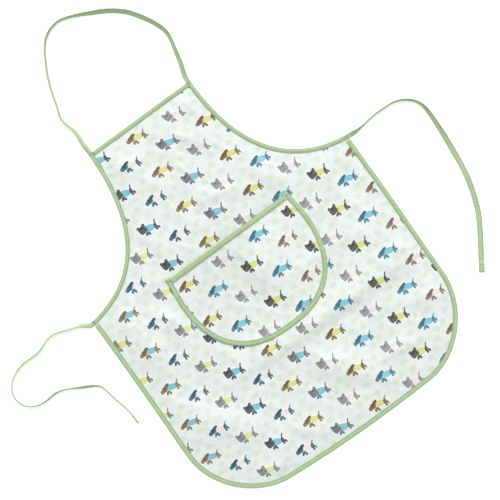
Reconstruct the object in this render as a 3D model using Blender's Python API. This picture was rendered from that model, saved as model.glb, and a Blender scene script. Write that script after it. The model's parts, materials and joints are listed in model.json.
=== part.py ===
"""A child's bib apron, laid flat on its back with its printed front side up.

The cloth is one wipe-clean panel. Every raw edge is wrapped in green bias tape, and the same tape runs
on past the corners as the neck loop and the two waist ties. A half-moon patch pocket is sewn on the front.
Each cut piece of cloth or tape, and the thread of each seam, is its own closed solid.

Frame: +X across the apron, +Y from the hem to the neck, +Z up from the surface it lies on. The origin is
on that surface, under the middle of the apron without its straps. Left and right are those of someone
looking at the front.
"""

import math

import bmesh
import bpy
import numpy as np

# The cut of the apron, in metres, before it is laid down.
BIB_HALF = 0.098
SKIRT_HALF = 0.246
SIDE_LENGTH = 0.584
WAIST_DROP = 0.212
SKIRT_CORNER = 0.113
HEM_BULGE = 0.014
ARMHOLE_TOP_PULL = 0.140
ARMHOLE_WAIST_PULL = 0.089
ARMHOLE_WAIST_ANGLE = math.radians(83)

# How the cloth lies: the bib leans to the left, and each level across is turned a little.
BIB_LEAN = 0.0058
LEAN_STARTS = -0.050
TURN = (0.0244, 0.0106, -0.0121)
TURN_SPAN = 0.300

# The half-moon pocket: its mouth, and the half ellipse, slightly squared, below its widest level.
POCKET_X = 0.0015
POCKET_MOUTH_Y = 0.0616
POCKET_MOUTH_HALF = 0.117
POCKET_WIDEST_HALF = 0.1215
POCKET_WIDEST_DROP = 0.042
POCKET_CURVE_DROP = 0.1295
POCKET_SQUARENESS = 2.45
POCKET_GAPE = 0.008
POCKET_GAPE_DEPTH = 0.132

# Cloth, tape and thread.
CLOTH = 0.0005
TAPE = 0.0005
GAP = 0.0003
RAW_EDGE = 0.0010
BINDING_WIDTH = 0.0080
MOUTH_BINDING_WIDTH = 0.0095
SEAM_FROM_FOLD = 0.0015
THREAD_WIDTH = 0.0006
THREAD_HEIGHT = 0.0004
STRAP_WIDTH = 0.0090
STRAP_THICK = 0.0016
STRAP_SEAM_IN = 0.0014
STRAP_RISE = 0.0003
STRAP_HEM = 0.017
STRAP_HEM_THICK = 0.0024
STRAP_STEP = 0.0075
STRAP_ROOT = 0.004
STRAP_SPREADS = 0.025
TACK_LENGTH = 0.0050
TACK_FROM_END = 0.0020
SEAM_FROM_END = 0.0038

# How many points each stretch of an edge is drawn with.
ARMHOLE_POINTS = 19
SKIRT_SIDE_POINTS = 7
SKIRT_CORNER_POINTS = 13
HEM_POINTS = 6
BIB_TOP_POINTS = 9
POCKET_SIDE_POINTS = 5
POCKET_CURVE_POINTS = 13
MOUTH_POINTS = 25
PANEL_MOUTH_POINTS = 17
POCKET_RINGS = 7

PANEL_Z = TAPE + GAP
BINDING_HEIGHT = TAPE + GAP + CLOTH + GAP + TAPE
POCKET_Z = PANEL_Z + CLOTH + GAP
HINGE_Z = 0.0024

# The routes of the straps as they lie: x, y in millimetres, then how far the tape is turned on edge, in
# degrees. 0 lies flat and 90 stands upright. The first and last points of a route that joins the apron
# are worked out from its corners.
NECK_LOOP_ROUTE = (
    (-100, 312, 50), (-99, 326, 56), (-100, 340, 60), (-104, 354, 69), (-105, 367, 78), (-101, 380, 80),
    (-93, 408, 78), (-83, 434, 78), (-70, 459, 78), (-53, 481, 78), (-41, 488, 80), (-27, 491.5, 80),
    (-13, 490, 79), (0, 485.5, 72), (13, 480, 66), (25, 474, 56), (38, 468, 44), (61, 453.5, 44),
    (72, 444, 40), (81, 433, 42), (96, 409, 45), (102, 396, 46), (105.5, 383, 52), (105, 370, 52),
    (102, 356, 46), (96, 329, 36),
)
LEFT_TIE_ROUTE = (
    (-259, 81, 42), (-271.5, 86.5, 76), (-285, 91, 79), (-299, 95.5, 78), (-312, 97.5, 80), (-326, 93.5, 72),
    (-339, 88.5, 71), (-353, 87, 66), (-367, 87, 69), (-381, 84.5, 72), (-394, 78.5, 77), (-404.5, 69, 79),
    (-411, 56.5, 78), (-410.5, 42.5, 78), (-404, 30, 78), (-393, 22, 80), (-380, 19, 79), (-366, 19.5, 72),
    (-352, 20, 73), (-339, 16, 79), (-326, 9.5, 74), (-314, 3, 58), (-301.5, -3.5, 62), (-291.5, -12, 76),
    (-287.5, -26, 75), (-281, -53, 75), (-278, -67, 77), (-276.5, -91, 78),
)
RIGHT_TIE_ROUTE = (
    (259, 87.5, 52), (273, 89, 76), (286, 91, 79), (300, 92.5, 80), (314, 92.5, 78), (328.5, 92, 80),
    (342, 88.5, 79), (354, 81, 75), (363, 71, 76), (368, 57, 62), (369, 43, 52), (368.5, 15, 38),
    (368, 1, 20), (367, -13, 8), (365, -41, 0), (361, -69, 0), (354, -96, 0), (344.5, -122, 0),
    (331.5, -146, 0), (316.5, -170, 0), (295, -204, 0),
)

COLOURS = {
    "coated_cotton": (0.87, 0.93, 0.88, 1),
    "green_bias_tape": (0.42, 0.55, 0.33, 1),
    "green_thread": (0.34, 0.47, 0.26, 1),
}


def material(name, roughness):
    made = bpy.data.materials.new(name)
    made.use_nodes = True
    shader = made.node_tree.nodes["Principled BSDF"]
    shader.inputs["Base Color"].default_value = COLOURS[name]
    shader.inputs["Roughness"].default_value = roughness
    shader.inputs["Metallic"].default_value = 0
    return made


def bezier(start, start_pull, end_pull, end, count):
    """Points on the cubic curve with these ends and handles."""
    t = np.linspace(0, 1, count)[:, None]
    return (
        (1 - t) ** 3 * start
        + 3 * (1 - t) ** 2 * t * start_pull
        + 3 * (1 - t) * t**2 * end_pull
        + t**3 * end
    )


def mirrored(path):
    """The path's mirror image across the middle of the apron, run the other way."""
    return path[::-1] * (-1, 1)


def right_armhole():
    """The cut from the bib's right corner to the right waist corner."""
    top = SIDE_LENGTH / 2
    bib = np.array((BIB_HALF, top))
    waist = np.array((SKIRT_HALF, top - WAIST_DROP))
    inwards = np.array((math.sin(ARMHOLE_WAIST_ANGLE), -math.cos(ARMHOLE_WAIST_ANGLE)))
    bib_pull, waist_pull = bib - (0, ARMHOLE_TOP_PULL), waist - ARMHOLE_WAIST_PULL * inwards
    return bezier(bib, bib_pull, waist_pull, waist, ARMHOLE_POINTS)


def right_skirt():
    """The cut from the right waist corner down the side and round to the middle of the hem."""
    hem = -SIDE_LENGTH / 2
    heights = np.linspace(SIDE_LENGTH / 2 - WAIST_DROP, hem + SKIRT_CORNER, SKIRT_SIDE_POINTS)[:-1]
    side = np.stack((np.full_like(heights, SKIRT_HALF), heights), 1)
    turn = np.linspace(0, -math.pi / 2, SKIRT_CORNER_POINTS)
    centre = (SKIRT_HALF - SKIRT_CORNER, hem + SKIRT_CORNER)
    corner = SKIRT_CORNER * np.stack((np.cos(turn), np.sin(turn)), 1) + centre
    across = np.linspace(centre[0], 0, HEM_POINTS)[1:]
    bottom = np.stack((across, np.full_like(across, hem)), 1)
    return np.concatenate((side, corner, bottom))


def lay(cut):
    """Where points of the flat cut come to lie on the surface."""
    x, y = cut.T
    top = SIDE_LENGTH / 2
    up_the_bib = np.clip((y - LEAN_STARTS) / (top - LEAN_STARTS), 0, 1)
    lean = BIB_LEAN * up_the_bib**2 * (3 - 2 * up_the_bib)
    level = y / TURN_SPAN
    turn = TURN[0] + TURN[1] * level + TURN[2] * level**2
    down_the_skirt = np.clip(-y / top, 0, 1)
    bulge = HEM_BULGE * down_the_skirt**4 * (1 - (x / SKIRT_HALF) ** 2)
    return np.stack((x - lean, y + x * turn - bulge), 1)


def inward(path, closed=False):
    """At each point of a path run clockwise about the cloth, the step that moves it 1 m into the cloth.
    A corner gets its mitre, so one offset keeps its distance from both of its sides."""
    runs = np.diff(np.concatenate((path, path[:1])) if closed else path, axis=0)
    normals = np.stack((runs[:, 1], -runs[:, 0]), 1)
    normals /= np.linalg.norm(normals, axis=1)[:, None]
    if closed:
        before, after = np.roll(normals, 1, 0), normals
    else:
        before = np.concatenate((normals[:1], normals))
        after = np.concatenate((normals, normals[-1:]))
    mitre = before + after
    return mitre / (mitre * after).sum(1)[:, None]


def empty(name, place):
    """A point that pieces are placed from: the apron's origin, or a place on a strap's hinge line."""
    made = bpy.data.objects.new(name, None)
    made.empty_display_size = 0.01
    made.location = place
    bpy.context.scene.collection.objects.link(made)
    return made


def solid(name, vertices, faces, finish, parent):
    """One closed solid of its own, with its faces turned outwards, placed from its parent."""
    mesh = bpy.data.meshes.new(name)
    mesh.from_pydata([tuple(v) for v in vertices - np.array(parent.location)], [], faces)
    work = bmesh.new()
    work.from_mesh(mesh)
    bmesh.ops.recalc_face_normals(work, faces=work.faces)
    work.to_mesh(mesh)
    work.free()
    mesh.materials.append(finish)
    made = bpy.data.objects.new(name, mesh)
    made.parent = parent
    bpy.context.scene.collection.objects.link(made)
    return made


def carried(name, centres, across, up, sections, finish, parent):
    """A section carried along a path. sections holds, for each point of the path, the corners of the
    section as distances along that point's across and up directions."""
    sections = np.broadcast_to(sections, (len(centres), *np.shape(sections)[-2:]))
    rings = (
        centres[:, None]
        + sections[..., :1] * across[:, None]
        + sections[..., 1:] * up[:, None]
    )
    count, corners = rings.shape[:2]
    faces = [tuple(range(corners)), tuple(range((count - 1) * corners, count * corners))]
    for ring in range(count - 1):
        for corner in range(corners):
            after = (corner + 1) % corners
            near, far = ring * corners, (ring + 1) * corners
            faces.append((near + corner, near + after, far + after, far + corner))
    return solid(name, rings.reshape(-1, 3), faces, finish, parent)


def flat(path, height):
    """The path's points at one height."""
    return np.column_stack((path, np.full(len(path), height)))


def up(path):
    """The upward direction at each of the path's points."""
    return np.tile((0.0, 0.0, 1.0), (len(path), 1))


def box_section(width, height, middle=0.0, base=0.0):
    """A rectangle, with its middle this far across and its base this far up."""
    half = width / 2
    return np.array(
        (
            (middle - half, base),
            (middle + half, base),
            (middle + half, base + height),
            (middle - half, base + height),
        )
    )


def strap_section(width, thick):
    """The folded tape's section, with a corner under its seam so that the thread follows its twist."""
    half, seam_at, face = width / 2, STRAP_WIDTH / 2 - STRAP_SEAM_IN, thick / 2
    lower = ((-half, -face), (seam_at, -face), (half, -face))
    return np.array((*lower, (half, face), (seam_at, face), (-half, face)))


def binding(name, path, into, base, finish, parent, width=BINDING_WIDTH):
    """Bias tape folded over an edge: a back wall on the path and a layer above and below the cloth."""
    fold = np.array(
        (
            (0, 0),
            (width, 0),
            (width, TAPE),
            (TAPE, TAPE),
            (TAPE, BINDING_HEIGHT - TAPE),
            (width, BINDING_HEIGHT - TAPE),
            (width, BINDING_HEIGHT),
            (0, BINDING_HEIGHT),
        )
    )
    return carried(name, flat(path, base), flat(into, 0), up(path), fold, finish, parent)


def seam(name, path, into, base, finish, parent, width=BINDING_WIDTH):
    """The thread of a seam, along the inner edge of a binding and on top of it. It stops short of the
    path's two ends, where the tacks are."""
    line = path + (width - SEAM_FROM_FOLD) * into
    line = shortened(line, SEAM_FROM_END)
    thread = box_section(THREAD_WIDTH, THREAD_HEIGHT)
    height = base + BINDING_HEIGHT + GAP
    return carried(name, flat(line, height), flat(inward(line), 0), up(line), thread, finish, parent)


def shortened(path, length):
    """The path with this much cut from each end."""
    along = distances(path)
    keep = (along > length + 1e-4) & (along < along[-1] - length - 1e-4)
    ends = [at(path, s) for s in (length, along[-1] - length)]
    return np.concatenate((ends[:1], path[keep], ends[1:]))


def distances(path):
    """How far along the path each of its points is."""
    return np.concatenate(((0,), np.cumsum(np.linalg.norm(np.diff(path, axis=0), axis=1))))


def at(path, distance):
    """The point this far along the path."""
    along = distances(path)
    return np.array([np.interp(distance, along, axis) for axis in path.T])


def tack(name, path, into, from_start, base, finish, parent):
    """A short bar of back-and-forth stitches across a binding, near one end of its path."""
    along = distances(path)
    distance = TACK_FROM_END if from_start else along[-1] - TACK_FROM_END
    first, second = at(path, distance), at(path, distance + 1e-3 * (1 if from_start else -1))
    run = (second - first) / np.linalg.norm(second - first)
    across = into[0] if from_start else into[-1]
    across = across / np.linalg.norm(across)
    middle = first + across * BINDING_WIDTH / 2
    ends = np.array((middle - across * TACK_LENGTH / 2, middle + across * TACK_LENGTH / 2))
    bar = box_section(1.6 * THREAD_WIDTH, THREAD_HEIGHT)
    sideways = np.tile((run[0], run[1], 0.0), (2, 1))
    height = base + BINDING_HEIGHT + GAP
    return carried(name, flat(ends, height), sideways, up(ends), bar, finish, parent)


def spline(points, step):
    """A smooth curve through the points, as a natural cubic spline over their chord length, with a
    point about every step metres. Columns after the second are interpolated without overshoot."""
    places = points[:, :2]
    knots = distances(places)
    gaps = np.diff(knots)
    slopes = np.diff(places, axis=0) / gaps[:, None]
    count = len(knots)
    system = np.eye(count)
    right = np.zeros((count, 2))
    for i in range(1, count - 1):
        system[i, i - 1 : i + 2] = gaps[i - 1], 2 * (gaps[i - 1] + gaps[i]), gaps[i]
        right[i] = 6 * (slopes[i] - slopes[i - 1])
    bends = np.linalg.solve(system, right)
    s = np.linspace(0, knots[-1], max(2, round(knots[-1] / step)) + 1)
    i = np.clip(np.searchsorted(knots, s, "right") - 1, 0, count - 2)
    gap, a, b = gaps[i][:, None], (knots[i + 1] - s)[:, None], (s - knots[i])[:, None]
    curve = (
        (bends[i] * a**3 + bends[i + 1] * b**3) / (6 * gap)
        + (places[i] / gap - bends[i] * gap / 6) * a
        + (places[i + 1] / gap - bends[i + 1] * gap / 6) * b
    )
    others = [np.interp(s, knots, column) for column in points[:, 2:].T]
    return np.column_stack((curve, *others))


def strap(name, corners, route, hem, tape_finish, thread_finish):
    """A free length of the folded tape along its route, turned on edge where the route says, with the
    thread of its seam. A strap with a hem ends in a fold of the tape held by a cross stitch. All of it
    is placed from the strap's hinge, at the middle of the corners of the apron that it joins."""
    hinge = empty(name + "_hinge", (*np.mean(corners, 0), HINGE_Z))
    line = spline(np.array(route), STRAP_STEP)
    path, turn = line[:, :2], np.radians(line[:, 2])
    runs = np.gradient(path, axis=0)
    runs[0] = np.subtract(route[1], route[0])[:2]
    if not hem:
        runs[-1] = np.subtract(route[-1], route[-2])[:2]
    runs /= np.linalg.norm(runs, axis=1)[:, None]
    side = np.column_stack((-runs[:, 1], runs[:, 0], np.zeros(len(path))))
    across = np.cos(turn)[:, None] * side + np.sin(turn)[:, None] * up(path)
    face = -np.sin(turn)[:, None] * side + np.cos(turn)[:, None] * up(path)
    along = distances(path)
    thick = np.full(len(path), STRAP_THICK)
    if hem:
        thick[along > along[-1] - STRAP_HEM] = STRAP_HEM_THICK
    from_root = along if hem else np.minimum(along, along[-1] - along)
    free = np.clip(from_root / STRAP_SPREADS, 0, 1)
    width = BINDING_WIDTH + (STRAP_WIDTH - BINDING_WIDTH) * free
    height = width / 2 * np.sin(turn) + thick / 2 * np.cos(turn) + STRAP_RISE * (1 - free)
    centres = np.column_stack((path, height))
    sections = np.stack([strap_section(w, t) for w, t in zip(width, thick)])
    carried(name, centres, across, face, sections, tape_finish, hinge)
    seam_end = STRAP_HEM + STRAP_STEP if hem else SEAM_FROM_END
    inner = (along > SEAM_FROM_END) & (along < along[-1] - seam_end)
    thread = box_section(
        THREAD_WIDTH, THREAD_HEIGHT, middle=STRAP_WIDTH / 2 - STRAP_SEAM_IN, base=STRAP_THICK / 2 + GAP
    )
    carried(name + "_seam", centres[inner], across[inner], face[inner], thread, thread_finish, hinge)
    if hem:
        cross = np.argmax(along > along[-1] - STRAP_HEM) + 1
        bar = box_section(THREAD_WIDTH, THREAD_HEIGHT, base=STRAP_HEM_THICK / 2 + GAP)
        ends = centres[cross] + np.outer((-1, 1), across[cross]) * (STRAP_WIDTH / 2 - STRAP_SEAM_IN)
        sideways, upwards = np.tile((*runs[cross], 0.0), (2, 1)), np.tile(face[cross], (2, 1))
        carried(name + "_end_stitch", ends, sideways, upwards, bar, thread_finish, hinge)


def gape(points, mouth):
    """How far the pocket's cloth stands off the apron: most at the middle of its mouth."""
    across = np.clip(1 - ((points[:, 0] - mouth[0]) / POCKET_MOUTH_HALF) ** 2, 0, 1)
    down = np.clip(1 - (mouth[1] - points[:, 1]) / POCKET_GAPE_DEPTH, 0, 1)
    return POCKET_GAPE * across**2 * down**2


def lift(made, mouth):
    """Raises a pocket piece by the gape of the pocket at each of its points."""
    points = np.array([vertex.co for vertex in made.data.vertices])
    points[:, 2] += gape(points, mouth)
    made.data.vertices.foreach_set("co", points.ravel())
    made.data.update()


def pocket_cut():
    """The pocket's curved edge, from the right end of its mouth round to the left end."""
    widest = POCKET_MOUTH_Y - POCKET_WIDEST_DROP
    corner, level = (POCKET_MOUTH_HALF, POCKET_MOUTH_Y), (POCKET_WIDEST_HALF, widest)
    side = np.linspace(corner, level, POCKET_SIDE_POINTS)[:-1]
    turn = np.linspace(0, math.pi / 2, POCKET_CURVE_POINTS)
    power = 2 / POCKET_SQUARENESS
    round_part = np.stack(
        (
            POCKET_WIDEST_HALF * np.cos(turn) ** power,
            widest - POCKET_CURVE_DROP * np.sin(turn) ** power,
        ),
        1,
    )
    half = np.concatenate((side, round_part))
    whole = np.concatenate((half, mirrored(half)[1:]))
    return whole + (POCKET_X, 0)


def body_panel(outline, finish, parent):
    """The apron's one cut piece of cloth. Its raw edge lies inside the folds of the bindings."""
    raw = outline + RAW_EDGE * inward(outline, closed=True)
    count = len(raw)
    vertices = np.concatenate((flat(raw, PANEL_Z), flat(raw, PANEL_Z + CLOTH)))
    sides = [(i, (i + 1) % count, (i + 1) % count + count, i + count) for i in range(count)]
    bottom, top = tuple(range(count)), tuple(range(count, 2 * count))
    solid("body_panel", vertices, [bottom, top, *sides], finish, parent)


def pocket_panel(edge, finish, parent):
    """The pocket's cut piece of cloth, as rings that shrink from its raw edge to a middle point."""
    mouth = np.linspace(edge[-1], edge[0], PANEL_MOUTH_POINTS)[1:-1]
    outline = np.concatenate((edge, mouth))
    raw = outline + RAW_EDGE * inward(outline, closed=True)
    middle = outline.mean(0)
    grid = [middle + (raw - middle) * (1 - ring / POCKET_RINGS) for ring in range(POCKET_RINGS)]
    layer = np.concatenate((*grid, middle[None]))
    base = POCKET_Z + TAPE + GAP
    vertices = np.concatenate((flat(layer, base), flat(layer, base + CLOTH)))
    count, size = len(raw), len(layer)
    faces = []
    for start in (0, size):
        for ring in range(POCKET_RINGS):
            near = start + ring * count
            for i in range(count):
                after = (i + 1) % count
                if ring == POCKET_RINGS - 1:
                    faces.append((near + i, near + after, start + size - 1))
                else:
                    faces.append((near + i, near + after, near + count + after, near + count + i))
    faces += [(i, (i + 1) % count, size + (i + 1) % count, size + i) for i in range(count)]
    return solid("pocket_panel", vertices, faces, finish, parent)


def build():
    """The whole apron: its cloth, then the bindings, the pocket and the straps."""
    for leftover in list(bpy.data.objects):
        bpy.data.objects.remove(leftover, do_unlink=True)
    cloth = material("coated_cotton", 0.35)
    tape = material("green_bias_tape", 0.85)
    thread = material("green_thread", 0.7)
    apron = empty("apron", (0, 0, 0))

    armhole, skirt = right_armhole(), right_skirt()
    skirt = np.concatenate((skirt, mirrored(skirt)[1:]))
    whole = np.concatenate((armhole[:-1], skirt, mirrored(armhole)[1:]))
    laid = lay(whole)
    origin = (laid.min(0) + laid.max(0)) / 2
    laid -= origin
    body_panel(laid, cloth, apron)

    # The tape of each armhole runs from corner to corner. The other bindings end against it.
    start = len(armhole) - 1
    end = start + len(skirt) - 1
    armholes = {"right": laid[: start + 1], "left": laid[end:]}
    for side, path in armholes.items():
        into = inward(path)
        binding(f"{side}_armhole_binding", path, into, 0, tape, apron)
        seam(f"{side}_armhole_seam", path, into, 0, thread, apron)
        bib_first = side == "right"
        tack(f"{side}_bib_tack", path, into, bib_first, 0, thread, apron)
        tack(f"{side}_waist_tack", path, into, not bib_first, 0, thread, apron)

    right_corner, left_corner = laid[0], laid[-1]
    clear = BINDING_WIDTH + 2 * GAP
    edge = (right_corner - left_corner) / np.linalg.norm(right_corner - left_corner)
    top = np.linspace(left_corner + edge * clear, right_corner - edge * clear, BIB_TOP_POINTS)
    binding("bib_top_binding", top, inward(top), 0, tape, apron)
    seam("bib_top_seam", top, inward(top), 0, thread, apron)

    below = shortened(laid[start : end + 1], clear)
    into = inward(below)
    for here, along_tape in ((0, armholes["right"][-2:]), (-1, armholes["left"][:2])):
        cut = along_tape[1] - along_tape[0]
        into[here] = cut / (cut @ into[here])
    binding("skirt_binding", below, into, 0, tape, apron)
    seam("skirt_seam", below, into, 0, thread, apron)

    pocket(lay(pocket_cut()) - origin, cloth, tape, thread, apron)
    straps(armholes, tape, thread)


def pocket(curve, cloth, tape, thread, apron):
    """The patch pocket. The tape of its curve runs from corner to corner, and the mouth's ends at it."""
    into = inward(curve)
    mouth = shortened(np.linspace(curve[-1], curve[0], MOUTH_POINTS), BINDING_WIDTH + 3 * GAP)
    across = inward(mouth)
    pieces = [
        pocket_panel(curve, cloth, apron),
        binding("pocket_edge_binding", curve, into, POCKET_Z, tape, apron),
        seam("pocket_edge_seam", curve, into, POCKET_Z, thread, apron),
        tack("right_pocket_tack", curve, into, True, POCKET_Z, thread, apron),
        tack("left_pocket_tack", curve, into, False, POCKET_Z, thread, apron),
        binding("pocket_mouth_binding", mouth, across, POCKET_Z, tape, apron, MOUTH_BINDING_WIDTH),
        seam("pocket_mouth_seam", mouth, across, POCKET_Z, thread, apron, MOUTH_BINDING_WIDTH),
    ]
    for piece in pieces:
        lift(piece, (curve[0] + curve[-1]) / 2)


def straps(armholes, tape, thread):
    """The neck loop and the two ties, each starting just past the end of an armhole's tape."""

    def root(path, first):
        """The first two points of a strap that runs on from the first or the last end of an armhole."""
        corner, inner = (path[0], path[1]) if first else (path[-1], path[-2])
        into = inward(path)[0 if first else -1]
        outwards = (corner - inner) / np.linalg.norm(corner - inner)
        start = corner + BINDING_WIDTH / 2 * into + 2 * GAP * outwards
        return [(*start, 0.0), (*(start + STRAP_ROOT * outwards), 0.0)]

    def route(points):
        """The same points in metres."""
        return [(x / 1000, y / 1000, turn) for x, y, turn in points]

    left, right = armholes["left"], armholes["right"]
    loop = [*root(left, False), *route(NECK_LOOP_ROUTE), *root(right, True)[::-1]]
    left_points = [*root(left, True), *route(LEFT_TIE_ROUTE)]
    right_points = [*root(right, False), *route(RIGHT_TIE_ROUTE)]
    strap("neck_loop", (left[-1], right[0]), loop, False, tape, thread)
    strap("left_tie", (left[0],), left_points, True, tape, thread)
    strap("right_tie", (right[-1],), right_points, True, tape, thread)


build()
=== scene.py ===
"""A child's wipe-clean bib apron, laid flat on its back with the printed side up.

One cut piece of coated cotton, bound all round in folded green bias tape. The same tape runs on past the
corners as the neck loop and the waist ties, and a half-moon patch pocket is sewn to the front.
Metres, +Z up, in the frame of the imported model, which this script dresses and never moves.
"""

import json
import math

import bmesh
import bpy
import numpy as np
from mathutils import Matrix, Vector

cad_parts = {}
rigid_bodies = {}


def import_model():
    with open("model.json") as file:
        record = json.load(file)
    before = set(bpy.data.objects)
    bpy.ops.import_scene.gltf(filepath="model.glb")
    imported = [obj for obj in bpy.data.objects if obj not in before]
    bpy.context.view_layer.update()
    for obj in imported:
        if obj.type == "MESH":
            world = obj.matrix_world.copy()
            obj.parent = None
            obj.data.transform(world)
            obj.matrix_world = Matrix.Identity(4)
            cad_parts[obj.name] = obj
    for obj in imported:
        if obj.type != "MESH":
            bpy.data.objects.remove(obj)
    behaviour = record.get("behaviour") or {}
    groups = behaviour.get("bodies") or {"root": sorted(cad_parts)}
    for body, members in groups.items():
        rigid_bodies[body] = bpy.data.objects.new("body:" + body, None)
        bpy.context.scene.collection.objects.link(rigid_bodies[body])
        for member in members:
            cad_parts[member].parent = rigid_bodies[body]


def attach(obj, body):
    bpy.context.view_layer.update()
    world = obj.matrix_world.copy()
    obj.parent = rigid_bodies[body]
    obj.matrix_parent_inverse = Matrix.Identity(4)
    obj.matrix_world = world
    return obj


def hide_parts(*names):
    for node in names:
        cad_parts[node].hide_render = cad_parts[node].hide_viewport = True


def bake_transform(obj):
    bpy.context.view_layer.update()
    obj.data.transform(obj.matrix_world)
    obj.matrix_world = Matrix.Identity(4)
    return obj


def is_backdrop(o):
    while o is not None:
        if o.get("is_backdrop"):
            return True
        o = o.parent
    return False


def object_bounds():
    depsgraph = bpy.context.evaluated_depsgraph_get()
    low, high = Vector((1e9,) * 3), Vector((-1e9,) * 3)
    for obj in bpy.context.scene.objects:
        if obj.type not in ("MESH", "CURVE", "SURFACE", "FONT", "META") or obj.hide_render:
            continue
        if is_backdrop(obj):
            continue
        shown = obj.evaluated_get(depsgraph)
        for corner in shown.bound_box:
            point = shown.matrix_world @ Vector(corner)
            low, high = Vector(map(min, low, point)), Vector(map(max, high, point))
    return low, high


for leftover in list(bpy.data.objects):
    bpy.data.objects.remove(leftover, do_unlink=True)
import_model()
cad_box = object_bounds()
scene = bpy.context.scene

# ------------------------------
# The table, the camera and the lights. The apron lies on a white table whose top glows a little, which
# keeps its shadows faint. Two far soft boxes towards its right shoulder and even room light fall on it.
# The camera looks straight down, turned about its own axis so that the apron lies aslant.
CAMERA_TURN = math.radians(-34.85)
CAMERA_OVER = (0.0188, 0.0304)
VIEW_WIDTH = 0.7775
LENS, SENSOR = 85.0, 36.0
TABLE_HALF, TABLE_BELOW, TABLE_GLOW = 40.0, 0.0002, 0.40
ROOM_LIGHT = 0.58


def linear(colour):
    """An sRGB hex colour as linear red, green, blue and alpha: each channel is c / 12.92 below 0.04045, and
    ((c + 0.055) / 1.055) ** 2.4 above it."""
    channels = [int(colour[i : i + 2], 16) / 255 for i in (1, 3, 5)]
    return (*(c / 12.92 if c < 0.04045 else ((c + 0.055) / 1.055) ** 2.4 for c in channels), 1.0)


def node(tree, kind, inputs, **settings):
    """Adds one node. settings are its properties. inputs gives sockets, by name or number, either a value
    or what feeds them: a socket, or a node for its first output."""
    made = tree.nodes.new("ShaderNode" + kind)
    for name, value in settings.items():
        setattr(made, name, value)
    for name, value in inputs.items():
        value = value.outputs[0] if isinstance(value, bpy.types.Node) else value
        if isinstance(value, bpy.types.NodeSocket):
            tree.links.new(value, made.inputs[name])
        else:
            made.inputs[name].default_value = value
    return made


def finish_named(name, **sockets):
    """A material and its node tree, with these values on the Principled shader's own sockets."""
    made = bpy.data.materials.new(name)
    made.use_nodes = True
    shader = made.node_tree.nodes["Principled BSDF"]
    for socket, value in sockets.items():
        shader.inputs[socket.replace("_", " ")].default_value = value
    return made, made.node_tree, shader


table_top = bpy.data.meshes.new("table")
around = ((-1, -1), (1, -1), (1, 1), (-1, 1))
table_corners = [(x * TABLE_HALF, y * TABLE_HALF, -TABLE_BELOW) for x, y in around]
table_top.from_pydata(table_corners, [], [(0, 1, 2, 3)])
table = bpy.data.objects.new("table", table_top)
scene.collection.objects.link(table)
opal, _, _ = finish_named(
    "backlit_opal_acrylic",
    Base_Color=linear("#FDFDFD"),
    Roughness=0.9,
    Emission_Color=linear("#FFFFFF"),
    Emission_Strength=TABLE_GLOW,
)
table_top.materials.append(opal)
table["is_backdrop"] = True

camera = bpy.data.objects.new("camera", bpy.data.cameras.new("camera"))
scene.collection.objects.link(camera)
camera.data.lens, camera.data.sensor_width = LENS, SENSOR
camera.data.clip_start, camera.data.clip_end = 0.05, 20
camera.location = (*CAMERA_OVER, VIEW_WIDTH * LENS / SENSOR)
camera.rotation_euler = (0, 0, CAMERA_TURN)
scene.camera = camera

for name, at, size, power in (
    ("soft_box", (5.0, 6.6, 10.4), 4.8, 660.0),
    ("side_box", (7.8, 12.4, 10.8), 6.0, 1750.0),
):
    lamp = bpy.data.objects.new(name, bpy.data.lights.new(name, "AREA"))
    lamp.data.size, lamp.data.energy = size, power
    lamp.location = at
    lamp.rotation_euler = Vector(at).to_track_quat("Z", "Y").to_euler()
    scene.collection.objects.link(lamp)
room = bpy.data.worlds.new("room")
room.use_nodes = True
room.node_tree.nodes["Background"].inputs["Color"].default_value = linear("#FFFFFF")
room.node_tree.nodes["Background"].inputs["Strength"].default_value = ROOM_LIGHT
scene.world = room
scene.view_settings.view_transform = "Standard"

# ------------------------------
# The body: one cut piece of cotton, coated on its face, 0.5 mm thick. It is cut symmetrical: a bib, two
# concave armholes and a skirt with round corners. It keeps the folds of its packet and soft creases.
BIB_HALF, SKIRT_HALF, SIDE_LENGTH, WAIST_DROP = 0.098, 0.246, 0.584, 0.212
SKIRT_CORNER, HEM_BULGE = 0.113, 0.014
ARMHOLE_TOP_PULL, ARMHOLE_WAIST_PULL, ARMHOLE_WAIST_ANGLE = 0.140, 0.089, math.radians(83)
BIB_LEAN, LEAN_STARTS = 0.0058, -0.050
TURN, TURN_SPAN = (0.0244, 0.0106, -0.0121), 0.300
CLOTH = TAPE = 0.0005
GAP = 0.0003
RAW_EDGE = 0.0015
TAPE_WIDTH, BIB_TAPE_WIDTH = 0.0080, 0.0072
CLOTH_STEP = 0.0034
TOP = SIDE_LENGTH / 2


def bezier(start, start_pull, end_pull, end, count):
    """The cubic curve with these ends and handles: each point weighted by its Bernstein polynomial."""
    t = np.linspace(0, 1, count)[:, None]
    pulled = 3 * (1 - t) ** 2 * t * start_pull
    return (1 - t) ** 3 * start + pulled + 3 * (1 - t) * t**2 * end_pull + t**3 * end


def lay(cut):
    """Where the flat cut comes to lie. The bib leans left by a smooth step up its height, each level is
    turned by an angle that is a quadratic of its height, and the hem bulges by a parabola across it."""
    x, y = cut[..., 0], cut[..., 1]
    up_the_bib = np.clip((y - LEAN_STARTS) / (TOP - LEAN_STARTS), 0, 1)
    lean = BIB_LEAN * up_the_bib**2 * (3 - 2 * up_the_bib)
    level = y / TURN_SPAN
    turn = TURN[0] + TURN[1] * level + TURN[2] * level**2
    bulge = HEM_BULGE * np.clip(-y / TOP, 0, 1) ** 4 * (1 - (x / SKIRT_HALF) ** 2)
    return np.stack((x - lean, y + x * turn - bulge), -1)


def distances(path):
    """How far along the path each of its points is."""
    steps = np.linalg.norm(np.diff(path, axis=0), axis=1)
    return np.concatenate(((0,), np.cumsum(steps)))


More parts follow.
